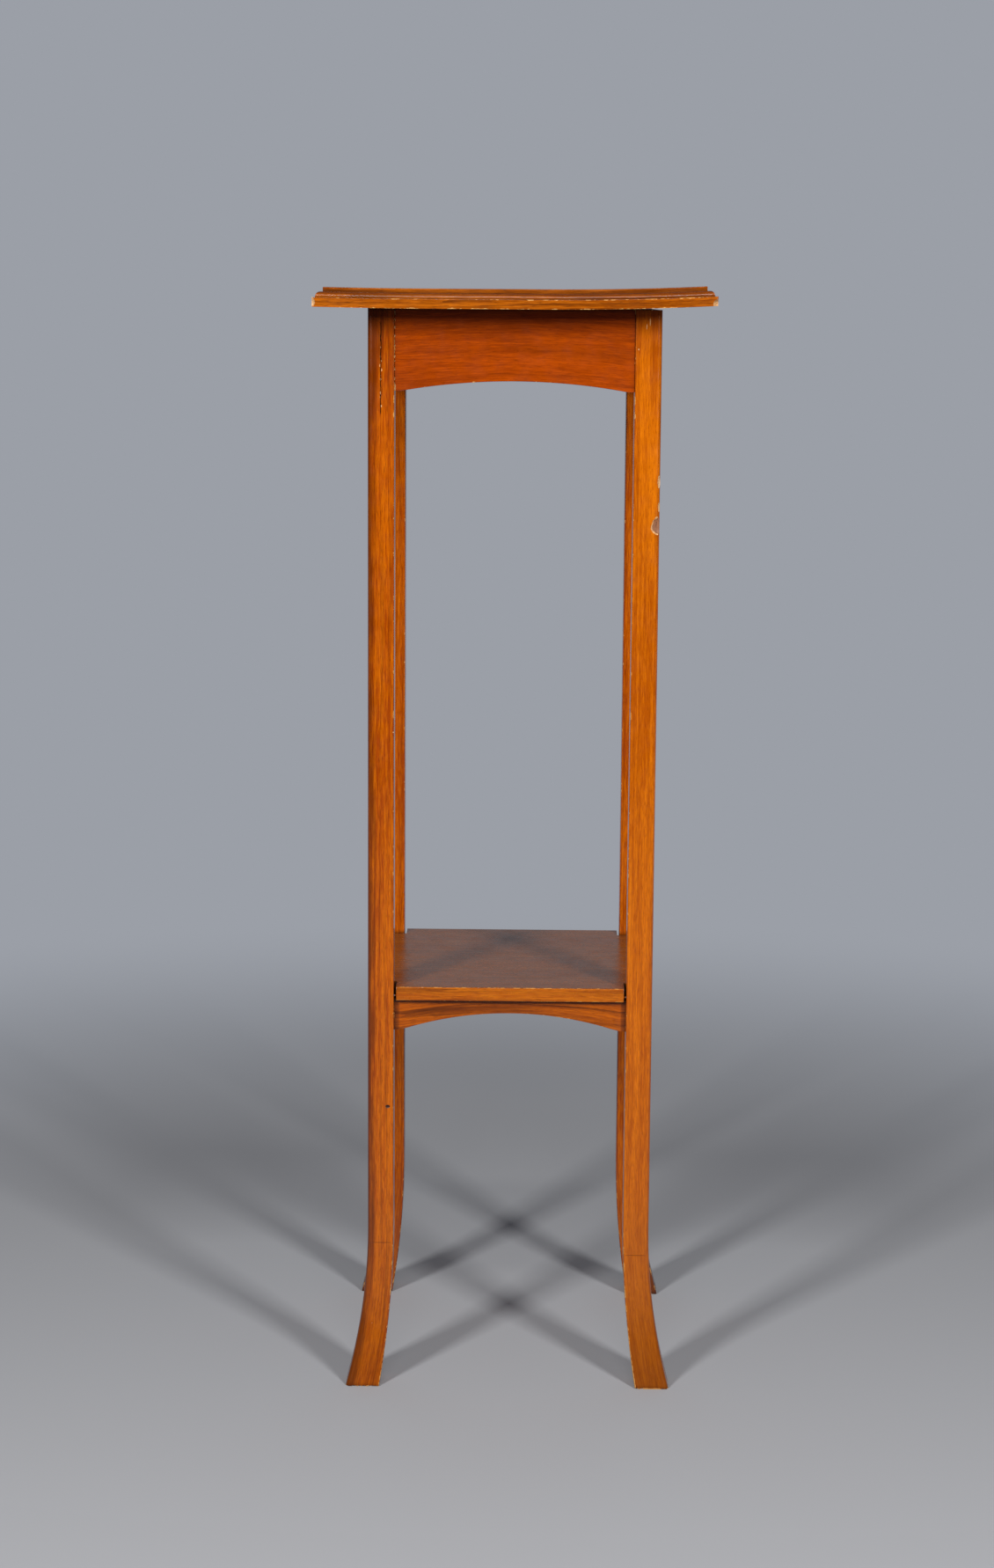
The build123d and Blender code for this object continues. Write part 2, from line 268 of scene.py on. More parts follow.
    # The colours lie over one another in the order in which they were named
    colour = add(tree, "ShaderNodeMix", {FACTOR: tone, FIRST: deep, SECOND: pale}, **COLOURS)
    for share, over in layers:
        colour = add(tree, "ShaderNodeMix", {FACTOR: share, FIRST: colour, SECOND: over}, **COLOURS)

    # The polish: a little uneven in shine, dull where it is rubbed through
    smear = add(tree, "ShaderNodeTexNoise", {"Vector": grain, "Scale": 1 / 14, "Detail": 3.0})
    gloss = add(tree, "ShaderNodeMapRange", {"Value": smear, "From Min": 0.3, "From Max": 0.7,
                                             "To Min": shine[0], "To Max": shine[1]})
    rough = add(tree, "ShaderNodeMix", {"Factor": rubbed, "A": gloss, "B": DRY_ROUGHNESS},
                data_type="FLOAT")

    # Pores and the pad's strokes stand a few hundredths of a millimetre proud
    height = add(tree, "ShaderNodeMath", {0: smear, 1: 3.0}, operation="MULTIPLY")
    height = add(tree, "ShaderNodeMath", {0: height, 1: pores}, operation="SUBTRACT")
    bump = add(tree, "ShaderNodeBump", {"Height": height, "Strength": 0.5, "Distance": 0.05 * MM})
    fill(tree, shader, {"Base Color": colour, "Roughness": rough, "Normal": bump,
                        "IOR": SHELLAC_IOR})
    return material


# %% [markdown]
# The pieces came out of different planks. The legs are the brightest, and the left front one shows
# dark heartwood towards the outside. The rear legs get that darker wood too, as painted shade. The
# aprons are redder and calm. The lower rails show clear lines of growth. The top and the shelf are
# browner where they face up, under a film of grime and painted shade.

# %% The polished woods
leg_wood = polished_wood("polished_stained_hardwood_leg", "dc7404", "b25200", "7c2e00",
                         ring_gap=5.0, ring_depth=0.35, streak=(120, 2.6), feet=0.65, much=0.03)
# One wood for the left front leg's heartwood, and again for the rear legs as painted shade
heartwood_and_shade_leg_wood = polished_wood("polished_stained_hardwood_heartwood_and_shade", "d26a02", "a04000", "5e2400",
                              ring_gap=5.0, ring_depth=0.45, streak=(140, 2.8), heartwood=0.75,
                              feet=0.4, much=0.03)
apron_wood = polished_wood("polished_stained_hardwood_apron", "b04600", "8e3400", "642600",
                           ring_gap=9.0, ring_depth=0.3, wander=6.0, streak=(60, 4.0))
rail_wood = polished_wood("polished_stained_hardwood_rail", "c86200", "a04800", "481a00",
                          ring_gap=5.5, ring_depth=0.85, wander=3.0, streak=(90, 2.0))
top_wood = polished_wood("polished_stained_hardwood_top", "bc620a", "8e4200", "4a1e04",
                         ring_gap=3.2, ring_depth=0.75, wander=4.0, streak=(90, 1.8), much=0.06,
                         grime_and_shade="5e2a12", grime_and_shade_depth=0.75, reach=1.0, shine=(0.12, 0.22))
shelf_wood = polished_wood("polished_stained_hardwood_shelf", "d07008", "ac5000", "642a00",
                           ring_gap=4.5, ring_depth=0.5, wander=4.0, streak=(90, 2.6), much=0.1,
                           grime_and_shade="583e26", grime_and_shade_depth=0.65, worn="cc8838", reach=0.9,
                           shine=(0.2, 0.3))
print("polished woods:", [m.name for m in bpy.data.materials if m.name.startswith("polished")])

# %% [markdown]
# Where a chip has flown off, the polish and the stain are gone and the torn fibre shows: dry, pale
# and rough. An old chip has been stained and polished over, and is browner and a little smoother. A
# knot is dark and hard. They read the same attributes, so the fibre runs the way the board's does.

# %% Bare wood
def plain_wood(name, pale, deep, roughness, fibre=(16, 0.8)):
    """Wood with no polish: two tones drawn out along the grain, dry and rough."""
    material, tree, shader = new_material(name)
    grain = add(tree, "ShaderNodeAttribute", out="Vector", attribute_name="grain")
    fibres = drawn_noise(tree, grain, *fibre, detail=3.0)
    colour = add(tree, "ShaderNodeMix", {FACTOR: fibres, FIRST: deep, SECOND: pale}, **COLOURS)
    bump = add(tree, "ShaderNodeBump", {"Height": fibres, "Strength": 0.8, "Distance": 0.1 * MM})
    fill(tree, shader, {"Base Color": colour, "Roughness": roughness, "Normal": bump})
    return material


bare_wood = plain_wood("bare_torn_hardwood", "e8bc84", "cc8c50", roughness=0.8)
old_chip = plain_wood("stained_torn_hardwood", "a46c48", "74462c", roughness=0.6)
knot_wood = plain_wood("dark_pin_knot", "4a2008", "2a1004", roughness=0.4)
print("unpolished woods:", bare_wood.name, old_chip.name, knot_wood.name)

# %% [markdown]
# New pieces are shaped with mesh operators, the way a joiner works: start from a sawn block, cut it
# across where it has to bend, move what lies between the cuts, and round the arrises last.

# %% Joiner's helpers
def block(low, high):
    """A new mesh that holds one sawn block between two corners."""
    bm = bmesh.new()
    place = Matrix.Translation((low + high) / 2) @ Matrix.Diagonal((*(high - low), 1))
    bmesh.ops.create_cube(bm, size=1, matrix=place)
    return bm


def cut_across(bm, axis, places):
    """Cuts the mesh by planes square to an axis."""
    normal = Vector()
    normal[axis] = 1
    for place in places:
        everything = bm.verts[:] + bm.edges[:] + bm.faces[:]
        bmesh.ops.bisect_plane(bm, geom=everything, plane_co=normal * place, plane_no=normal)


def steps(start, stop, length):
    """Evenly spaced places between two ends, about a length apart."""
    count = max(1, round(abs(stop - start) / length))
    return [start + (stop - start) * i / count for i in range(1, count)]


def round_off(bm, edges, radius, segments):
    """Rounds edges to a radius."""
    bmesh.ops.bevel(bm, geom=edges, offset=radius, segments=segments, profile=0.5, affect="EDGES",
                    material=-1)


# %% [markdown]
# Chips and dents are cut with small knobbly bodies and a Boolean modifier. Its Exact solver can
# give the cut faces the cutter's own material, so the torn wood shows just where wood is gone.

# %% Cut chips
CHIP_ROUGHNESS = 0.25    # how far the knobs stand out, as a share of the cutter's size
CHIP_KNOBS = 1.7         # how close together they are


def chip_cutter(name, places, material):
    """One mesh of knobbly bodies. A place is a centre and three half sizes in metres."""
    bm = bmesh.new()
    for centre, sizes in places:
        made = bmesh.ops.create_icosphere(bm, subdivisions=3, radius=1)
        for vert in made["verts"]:
            swell = noise.noise(vert.co * CHIP_KNOBS + Vector(centre) / MM)
            vert.co *= 1 + CHIP_ROUGHNESS * swell
        place = Matrix.Translation(centre) @ Matrix.Diagonal((*sizes, 1))
        bmesh.ops.transform(bm, matrix=place, verts=made["verts"])
    mesh = bpy.data.meshes.new(name)
    bm.to_mesh(mesh)
    bm.free()
    mesh.materials.append(material)
    return bpy.data.objects.new(name, mesh)


def settle(piece):
    """Makes a piece's modifiers part of its mesh."""
    graph = bpy.context.evaluated_depsgraph_get()
    settled = bpy.data.meshes.new_from_object(piece.evaluated_get(graph))
    piece.modifiers.clear()
    piece.data = settled


def chip(piece, places, material):
    """Cuts chips out of a piece, with bare or stained wood where they were."""
    cutter = chip_cutter(piece.name + "_cutter", places, material)
    bpy.context.scene.collection.objects.link(cutter)
    cut = piece.modifiers.new("chips", "BOOLEAN")
    cut.operation, cut.solver, cut.material_mode = "DIFFERENCE", "EXACT", "TRANSFER"
    cut.use_self = True    # the knobbly bodies may run into each other
    cut.object = cutter
    settle(piece)
    bpy.data.objects.remove(cutter)


# %% [markdown]
# Every wooden piece is finished alike: it gets its object, its smooth shading with sharp edges
# kept, its chips, and then the three attributes. A Weighted Normal modifier keeps the flat faces
# looking flat between the rounded arrises.

# %% Finish a wooden piece
SHARP_ANGLE = math.radians(32)


def lay_grain(mesh, place_in_board, shift):
    """Stores on every point where it lies in its board and in the tree, in millimetres."""
    columns = {name: mesh.attributes.new(name, "FLOAT_VECTOR", "POINT")
               for name in ("grain", "board", "half")}
    for i, vert in enumerate(mesh.vertices):
        board, half = place_in_board(vert.co)
        columns["board"].data[i].vector = board / MM
        columns["half"].data[i].vector = half / MM
        columns["grain"].data[i].vector = board / MM + shift


def finish_wood(name, bm, material, place_in_board, shift, chips=()):
    """Makes a piece of a mesh: chips, shading, grain, and the body that it rides on.

    Shift is the place of the board's middle in the tree, in millimetres from its heart.
    """
    bmesh.ops.recalc_face_normals(bm, faces=bm.faces)
    mesh = bpy.data.meshes.new(name)
    bm.to_mesh(mesh)
    bm.free()
    mesh.materials.append(material)
    piece = bpy.data.objects.new(name, mesh)
    bpy.context.scene.collection.objects.link(piece)
    for places, chip_material in chips:
        chip(piece, places, chip_material)
    mesh = piece.data
    mesh.polygons.foreach_set("use_smooth", [True] * len(mesh.polygons))
    mesh.set_sharp_from_angle(angle=SHARP_ANGLE)
    weighted = piece.modifiers.new("flat faces", "WEIGHTED_NORMAL")
    weighted.keep_sharp = True
    lay_grain(mesh, place_in_board, Vector(shift))
    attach(piece, "root")
    return piece


# %% [markdown]
# A leg is a square post whose four faces leave the upright near the floor, each on an arc of its
# own. It starts as a sawn block, gets cuts close together in the foot, and every point between the
# cuts is moved on to the arcs. Its outward corner is worn round, the other three are crisper.

# %% The legs
LEG_CORNER, LEG_ARRIS, FOOT_ARRIS = 4 * MM, 1.3 * MM, 0.8 * MM
FOOT_STEP = 6 * MM
TINY = 0.01 * MM


def sweep(reach, rise, height):
    """How far a face stands out at a height, on an arc that leaves the upright at the rise."""
    radius = (reach ** 2 + rise ** 2) / (2 * reach)
    below = max(rise - height, 0)
    return radius - math.sqrt(radius ** 2 - below ** 2)


def leg_faces(height):
    """Where the inner and outer faces of a leg are at a height."""
    return (leg_inner + sweep(SWEEP_IN, SWEEP_IN_HEIGHT, height),
            leg_outer + sweep(SWEEP_OUT, SWEEP_OUT_HEIGHT, height))


def long_edges(bm, outward):
    """The long edges of a leg, on its outward corner or on the other three."""
    rising = [e for e in bm.edges if abs(e.verts[0].co.z - e.verts[1].co.z) > TINY]
    return [e for e in rising
            if (min(*e.verts[0].co.xy, *e.verts[1].co.xy) > leg_outer - TINY) == outward]


def leg_mesh(side, end):
    """One leg. Side is -1 for left and 1 for right, end -1 for front and 1 for rear."""
    bm = block(Vector((leg_inner, leg_inner, 0)), Vector((leg_outer, leg_outer, leg_height)))
    cut_across(bm, 2, steps(0, SWEEP_IN_HEIGHT, FOOT_STEP) + [SWEEP_OUT_HEIGHT, SWEEP_IN_HEIGHT])
    for vert in bm.verts:
        inner, outer = leg_faces(vert.co.z)
        vert.co.x = outer if vert.co.x > leg_axis else inner
        vert.co.y = outer if vert.co.y > leg_axis else inner
    round_off(bm, long_edges(bm, outward=False), LEG_ARRIS, 3)
    round_off(bm, long_edges(bm, outward=True), LEG_CORNER, 6)
    sole = [e for e in bm.edges if e.verts[0].co.z < TINY and e.verts[1].co.z < TINY]
    round_off(bm, sole, FOOT_ARRIS, 2)
    bmesh.ops.scale(bm, vec=(side, end, 1), verts=bm.verts)
    return bm


def place_in_leg(point):
    """A point's place in its leg, and the half sizes of the leg there."""
    inner, outer = leg_faces(point.z)
    middle, half = (inner + outer) / 2, (outer - inner) / 2
    board = Vector((point.z - leg_height / 2, abs(point.x) - middle, abs(point.y) - middle))
    return board, Vector((leg_height / 2, half, half))


# %% [markdown]
# The old legs have taken knocks. A splinter has flown off the outer arris of the right front leg
# and was polished over since, with two thin slivers above it. The left front leg has a long shake,
# a crack that follows the grain, and a small knot below the shelf. A hair line across both shows
# where the wood of the swept foot was glued on. All the feet are chipped where they were dragged.

# %% Marks on the legs
CHIPS_ROUND_A_FOOT = 14
SHAKE_TOP, SHAKE_END, SHAKE_IN = 984 * MM, 905 * MM, 11.8 * MM
SHAKE_STEP, SHARE_WITH_FLECK = 4 * MM, 0.45
KNOT_IN, KNOT_HEIGHT = 18.5 * MM, 265.5 * MM
LEFT_SEAM, RIGHT_SEAM = 134 * MM, 124 * MM
DRAG_MARK = 58 * MM
LEG_SEED = 11


def foot_chips(side, end, seed):
    """Small chips round the sole of a foot."""
    dice = random.Random(seed)
    inner, outer = leg_faces(0)
    places = []
    for _ in range(CHIPS_ROUND_A_FOOT):
        along = dice.uniform(inner, outer)
        across = dice.choice((inner, outer, outer))
        x, y = (along, across) if dice.random() < 0.5 else (across, along)
        sizes = [dice.uniform(*span) * MM for span in ((1.2, 2.6), (1.2, 2.6), (0.8, 1.6))]
        places.append(((side * x, end * y, 0), sizes))
    return places


def on_leg(side, from_outside, height, depth=0.0):
    """A spot on the front of a front leg, measured from its outer face and into the wood."""
    return (side * (leg_outer - from_outside), -leg_outer + depth, height)


def foot_seam(side, height):
    """The hair line where the glued-on foot runs out on the front of a leg."""
    out = sweep(SWEEP_OUT, SWEEP_OUT_HEIGHT, height)
    return [(on_leg(side, 12 * MM, height, -out), (11 * MM, 0.4 * MM, 0.18 * MM))]


SCAR = on_leg(1, 0.2 * MM, 806.5 * MM, -0.4 * MM)
scar_rim = [(SCAR, (7.6 * MM, 2.4 * MM, 10 * MM))]
scar_floor = [(SCAR, (6.7 * MM, 3.4 * MM, 8.9 * MM))]
slivers = [(on_leg(1, 0.4 * MM, 846.3 * MM, 0.9 * MM), (1.9 * MM, 2.1 * MM, 6.5 * MM)),
           (on_leg(1, 0.3 * MM, 823.8 * MM, 0.9 * MM), (1.6 * MM, 1.9 * MM, 5 * MM))]
nicks = [(on_leg(1, 21 * MM, 963.8 * MM), (0.6 * MM, 0.5 * MM, 0.9 * MM)),
         (on_leg(1, 11 * MM, 988 * MM), (0.5 * MM, 0.4 * MM, 3.5 * MM)),
         (on_leg(1, 14 * MM, 984 * MM), (0.4 * MM, 0.4 * MM, 2.5 * MM))]

shake, flecks = [], []
dice = random.Random(5)
height = SHAKE_TOP
while height > SHAKE_END:
    spot = on_leg(-1, SHAKE_IN + dice.uniform(-0.3, 0.3) * MM, height)
    shake.append((spot, (0.35 * MM, 1.2 * MM, 3.4 * MM)))
    if dice.random() < SHARE_WITH_FLECK:
        beside = on_leg(-1, SHAKE_IN + dice.uniform(-0.8, 0.8) * MM, height)
        flecks.append((beside, (0.45 * MM, 0.4 * MM, dice.uniform(0.6, 1.6) * MM)))
    height -= SHAKE_STEP
drag_mark_out = sweep(SWEEP_OUT, SWEEP_OUT_HEIGHT, DRAG_MARK)
flecks += [(on_leg(-1, SHAKE_IN, 935.8 * MM), (0.7 * MM, 0.5 * MM, 1.1 * MM)),
           (on_leg(-1, SHAKE_IN, 923 * MM), (0.5 * MM, 0.5 * MM, 2.6 * MM)),
           (on_leg(-1, LEG_SIDE - 0.5 * MM, 617 * MM), (0.6 * MM, 0.6 * MM, 0.8 * MM)),
           (on_leg(-1, 4.5 * MM, DRAG_MARK, -3 * MM - drag_mark_out),
            (0.8 * MM, 3.4 * MM, 0.7 * MM))]
knot = [(on_leg(-1, KNOT_IN, KNOT_HEIGHT), (2.0 * MM, 0.5 * MM, 1.7 * MM))]

leg_marks = {"front_right": [(scar_rim, bare_wood), (scar_floor, old_chip),
                             (slivers + nicks, bare_wood), (foot_seam(1, RIGHT_SEAM), knot_wood)],
             "front_left": [(shake + knot + foot_seam(-1, LEFT_SEAM), knot_wood),
                            (flecks, bare_wood)]}

for number, (end_name, end) in enumerate((("front", -1), ("rear", 1))):
    for side_name, side in (("left", -1), ("right", 1)):
        corner = f"{end_name}_{side_name}"
        seed = LEG_SEED + 2 * number + side
        marks = leg_marks.get(corner, []) + [(foot_chips(side, end, seed), bare_wood)]
        dice = random.Random(seed)
        from_heart = (dice.uniform(0, 500), dice.uniform(30, 70), dice.uniform(-40, 40))
        # The rear legs take the darker wood as painted shade
        wood = leg_wood if corner == "front_right" else heartwood_and_shade_leg_wood
        leg = finish_wood(f"worn_{corner}_leg", leg_mesh(side, end), wood, place_in_leg,
                          from_heart, marks)
        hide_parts(f"{corner}_leg")
        print(leg.name, len(leg.data.polygons), "faces")

# %% [markdown]
# An apron or rail is a board whose lower edge is sawn to a flat arch. Cuts across the board let its
# lower edge bend up, and the points that follow the arch are the only ones that move.

# %% The aprons and the shelf rails
ARCH_STEP = 7 * MM
ARCH_LAND = 6 * MM
ARCH_ARRIS = 0.6 * MM
APRON_RISE, RAIL_RISE = 9 * MM, 16.5 * MM
JOINT_FLECKS_MM = (12, 20, 26, 33, 41, 47, 55, 62, 68)    # up the joint from the apron's corner


def arch(place, rise):
    """How far the arch has risen at a place along the board."""
    spring = leg_inner - ARCH_LAND
    radius = (spring ** 2 + rise ** 2) / (2 * rise)
    inside = radius ** 2 - min(abs(place), spring) ** 2
    return math.sqrt(inside) - (radius - rise)


def arched_mesh(low, high, along, rise):
    """A board with its lower edge arched. Along is 0 for a board that runs in X and 1 in Y."""
    bm = block(low, high)
    spring = leg_inner - ARCH_LAND
    cut_across(bm, along, [-spring, spring] + steps(-spring, spring, ARCH_STEP))
    middle = (low.z + high.z) / 2
    lower = [v for v in bm.verts if v.co.z < middle]
    for vert in lower:
        vert.co.z += arch(vert.co[along], rise)
    lengthwise = [e for e in bm.edges if e.verts[0] in lower and e.verts[1] in lower
                  and abs(e.verts[0].co[along] - e.verts[1].co[along]) > TINY]
    round_off(bm, lengthwise, ARCH_ARRIS, 2)
    return bm


def place_in_arched(low, high, along, rise):
    """A function that tells a point's place in such a board."""
    def place(point):
        foot = low.z + arch(point[along], rise)
        through = 1 - along
        half = Vector(((high - low)[along], high.z - foot, (high - low)[through])) / 2
        board = Vector((point[along], point.z - (foot + high.z) / 2,
                        point[through] - (low + high)[through] / 2))
        return board, half
    return place


def joint_flecks(low):
    """Specks of bare wood where the front apron meets the left leg, and its broken lower corner."""
    dice = random.Random(3)
    places = [((low.x, low.y, low.z + 2.5 * MM), (1.3 * MM, 0.9 * MM, 5 * MM))]
    for height in JOINT_FLECKS_MM:
        spot = (low.x, low.y, low.z + (height + dice.uniform(-2, 2)) * MM)
        places.append((spot, (0.8 * MM, 0.6 * MM, dice.uniform(0.7, 2.2) * MM)))
    return places


kinds = {"apron": (APRON_RISE, apron_wood), "shelf_rail": (RAIL_RISE, rail_wood)}
for kind, (rise, wood) in kinds.items():
    for number, (where, along) in enumerate((("front", 0), ("right", 1), ("rear", 0), ("left", 1))):
        low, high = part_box(f"{where}_{kind}")
        dice = random.Random(number + 40 * rise / MM)
        from_heart = (dice.uniform(0, 500), dice.uniform(-30, 30), dice.uniform(60, 90))
        marks = [(joint_flecks(low), bare_wood)] if (where, kind) == ("front", "apron") else []
        board = finish_wood(f"worn_{where}_{kind}", arched_mesh(low, high, along, rise), wood,
                            place_in_arched(low, high, along, rise), from_heart, marks)
        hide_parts(f"{where}_{kind}")
        print(board.name, len(board.data.polygons), "faces")

# %% [markdown]
# The shelf is a square board with a notch at each corner, cut to pass the legs with an open joint
# of 2 mm. A grid of three by three cells without its corner cells is its plan, and one extrusion
# gives it thickness.

# %% The shelf
SHELF_LEG_GAP = 2 * MM
SHELF_ARRIS = 0.9 * MM
SHELF_FROM_HEART = (130, 15, 85)


def shelf_mesh():
    """The notched board, with the arrises of its four sides rounded."""
    half, notch = shelf_high.x, leg_inner - SHELF_LEG_GAP
    bm = bmesh.new()
    bmesh.ops.create_grid(bm, x_segments=3, y_segments=3, size=1)
    for vert in bm.verts:
        for axis in (0, 1):
            reach = half if abs(vert.co[axis]) > 0.5 else notch
            vert.co[axis] = math.copysign(reach, vert.co[axis])
        vert.co.z = shelf_low.z
    corners = [f for f in bm.faces
               if min(abs(place) for place in f.calc_center_median().xy) > notch]
    bmesh.ops.delete(bm, geom=corners, context="FACES")
    grown = bmesh.ops.extrude_face_region(bm, geom=bm.faces[:])
    raised = [v for v in grown["geom"] if isinstance(v, bmesh.types.BMVert)]
    bmesh.ops.translate(bm, verts=raised, vec=(0, 0, shelf_high.z - shelf_low.z))
    bmesh.ops.dissolve_limit(bm, angle_limit=math.radians(1), verts=bm.verts, edges=bm.edges)
    outside = [e for e in bm.edges
               if max(abs(place) for place in (e.verts[0].co + e.verts[1].co).xy) / 2 > half - TINY]
    round_off(bm, outside, SHELF_ARRIS, 3)
    return bm


def place_in_shelf(point):
    """A point's place in the shelf, whose grain runs from side to side."""
    middle = (shelf_low + shelf_high) / 2
    return point - middle, (shelf_high - shelf_low) / 2


shelf = finish_wood("worn_shelf_board", shelf_mesh(), shelf_wood, place_in_shelf,
                    SHELF_FROM_HEART)
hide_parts("shelf_board")
print(shelf.name, len(shelf.data.polygons), "faces")

# %% [markdown]
# The top's moulding is a plain edge band, a small ledge, a quarter round, another ledge and a riser
# to the flat field. Each of these is an inset of the upper face and a lift, so a short list of
# insets and lifts is the whole profile. Then cuts across the board let it bow: it lies flat in the
# middle, and its ends have lifted off the legs as old boards do.

# %% The top board
EDGE_BAND = 8.4 * MM
OVOLO_LEDGE, OVOLO_UPRIGHT, OVOLO_RADIUS = 2.8 * MM, 0.5 * MM, 4.6 * MM
CROWN_LEDGE, CROWN_ARRIS = 1.8 * MM, 0.6 * MM
TOP_THICKNESS = 17.5 * MM
BAND_ARRIS, BAND_CORNER = 0.5 * MM, 1.2 * MM
OVOLO_STEPS = 8
FLAT_TO_LEFT, FLAT_TO_RIGHT = 75 * MM, 30 * MM
LIFT_LEFT, LIFT_RIGHT = 1 * MM, 4 * MM
BOW_STEP = 8 * MM
TOP_FROM_HEART = (210, 40, 95)


def moulding():
    """The insets and lifts that make the moulded edge, from the top of the edge band."""
    strokes = [(OVOLO_LEDGE, 0), (0, OVOLO_UPRIGHT)]
    for i in range(OVOLO_STEPS):
        start, stop = (math.pi / 2 * (i + k) / OVOLO_STEPS for k in (0, 1))
        strokes.append((OVOLO_RADIUS * (math.cos(start) - math.cos(stop)),
                        OVOLO_RADIUS * (math.sin(stop) - math.sin(start))))
    riser = TOP_THICKNESS - EDGE_BAND - OVOLO_UPRIGHT - OVOLO_RADIUS
    return strokes + [(CROWN_LEDGE, 0), (0, riser)]


def bow(x, level):
    """The height at x of the layer that lies at this level above the underside."""
    flat, lift = (FLAT_TO_RIGHT, LIFT_RIGHT) if x > 0 else (FLAT_TO_LEFT, LIFT_LEFT)
    bend = ((half_top - flat) ** 2 + lift ** 2) / (2 * lift) - level
    past = max(abs(x) - flat, 0)
    return leg_height + level + bend - math.sqrt(bend ** 2 - past ** 2)


def rim(bm, level):
    """The edges round the outside of the board at a level."""
    return [e for e in bm.edges if all(max(abs(v.co.x), abs(v.co.y)) > half_top - TINY
                                       and abs(v.co.z - level) < TINY for v in e.verts)]


def top_mesh():
    """The moulded and bowed board."""
    bm = block(Vector((-half_top, -half_top, 0)), Vector((half_top, half_top, EDGE_BAND)))
    upper = max(bm.faces, key=lambda f: f.calc_center_median().z)
    for inset, lift in moulding():
        bmesh.ops.inset_region(bm, faces=[upper], thickness=inset, use_even_offset=True)
        bmesh.ops.translate(bm, verts=upper.verts, vec=(0, 0, lift))
    corners = [e for e in bm.edges if abs(e.verts[0].co.z - e.verts[1].co.z) > EDGE_BAND / 2]
    round_off(bm, corners, BAND_CORNER, 3)
    for level in (0, EDGE_BAND):
        round_off(bm, rim(bm, level), BAND_ARRIS, 2)
    round_off(bm, list(upper.edges), CROWN_ARRIS, 2)
    for start, stop in ((FLAT_TO_RIGHT, half_top), (-FLAT_TO_LEFT, -half_top)):
        cut_across(bm, 0, [start] + steps(start, stop, BOW_STEP))
    for vert in bm.verts:
        vert.co.z = bow(vert.co.x, vert.co.z)
    return bm


def place_in_top(point):
    """A point's place in the top, whose grain runs from side to side."""
    level = point.z - bow(point.x, 0)
    middle = EDGE_BAND / 2
    return Vector((point.x, point.y, level - middle)), Vector((half_top, half_top, middle))


left_chip = [((-half_top + 0.3 * MM, -half_top + 0.3 * MM, bow(-half_top, EDGE_BAND / 2)),
              (2.6 * MM, 2.6 * MM, 4.4 * MM))]
right_chip = [((half_top - 0.3 * MM, -half_top + 0.3 * MM, bow(half_top, 1.5 * MM)),
               (4.0 * MM, 4.0 * MM, 4.6 * MM))]
top = finish_wood("worn_top_board", top_mesh(), top_wood, place_in_top,
                  TOP_FROM_HEART, [(left_chip + right_chip, bare_wood)])
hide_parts("top_board")
print(top.name, len(top.data.polygons), "faces", [round(v, 4) for v in top.dimensions])

# %% [markdown]
# The glue blocks, dowels and screws keep the shapes of the construction, and only get their
# finishes. The blocks behind the aprons are saw-rough pine, which age has turned a dry
# yellow-brown. The dowels are smooth pale beech, and the screws are mild steel gone grey and dull.
# Their patterns read Object coordinates, scaled to millimetres by a Mapping node.

# %% Hidden pieces
def along_grain(tree, sizes):
    """Object coordinates divided by pattern sizes in millimetres."""
    place = add(tree, "ShaderNodeTexCoord", out="Object")
    scale = [1 / (size * MM) for size in sizes]
    return add(tree, "ShaderNodeMapping", {"Vector": place, "Scale": scale})


def dress(nodes, material):
    """Puts a material on nodes of the construction, whose shapes stay as they are."""
    for node in nodes:
        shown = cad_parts[node]
        shown.data.materials.clear()
        shown.data.materials.append(material)


def object_wood(name, pale, deep, sizes, roughness):
    """Unpolished wood on a construction node, in two tones drawn out by the sizes."""
    material, tree, shader = new_material(name)
    tones = add(tree, "ShaderNodeTexNoise", {"Vector": along_grain(tree, sizes), "Scale": 1.0,
                                             "Detail": 4.0})
    tones = add(tree, "ShaderNodeMapRange", {"Value": tones, "From Min": 0.35, "From Max": 0.65})
    colour = add(tree, "ShaderNodeMix", {FACTOR: tones, FIRST: deep, SECOND: pale}, **COLOURS)
    bump = add(tree, "ShaderNodeBump", {"Height": tones, "Strength": 0.6, "Distance": 0.15 * MM})
    fill(tree, shader, {"Base Color": colour, "Roughness": roughness, "Normal": bump})
    return material


pine = object_wood("aged_sawn_pine", "b98a55", "80582f", (30, 30, 2.0), roughness=0.75)
beech = object_wood("bare_beech_dowel", "d0a878", "b08654", (12, 12, 1.5), roughness=0.6)
blocks = [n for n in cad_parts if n.endswith("corner_block")]
dress(blocks, pine)
dress(["apron_dowels", "rail_dowels"], beech)

steel, steel_tree, steel_shader = new_material("dull_mild_steel")
tarnish = add(steel_tree, "ShaderNodeTexNoise",
              {"Vector": along_grain(steel_tree, (1.5, 1.5, 1.5)), "Scale": 1.0, "Detail": 3.0})
steel_colour = add(steel_tree, "ShaderNodeMix",
                   {FACTOR: tarnish, FIRST: "6a645c", SECOND: "96918a"}, **COLOURS)
steel_rough = add(steel_tree, "ShaderNodeMapRange",
                  {"Value": tarnish, "To Min": 0.35, "To Max": 0.6})
fill(steel_tree, steel_shader, {"Base Color": steel_colour, "Metallic": 1.0,
                                "Roughness": steel_rough})
dress(["top_screws", "shelf_screws"], steel)
print("dressed:", len(blocks), "blocks, dowels and screws")

# %% [markdown]
# The backdrop is the world itself. The camera sees it as an even pale grey. It lights the stand
# from behind, and polish and metal mirror it there, while towards the front they meet the dark
# room behind the camera.

# %% World
BACKGROUND, DARK_ROOM = "9b9fa7", "2c2c30"
FILL_GAIN = 0.8    # how much more the backdrop gives to matt surfaces than it shows
PALE_FROM, PALE_TO, PALE_MOST = 0.35, 0.85, 0.72    # where reflections see the world pale


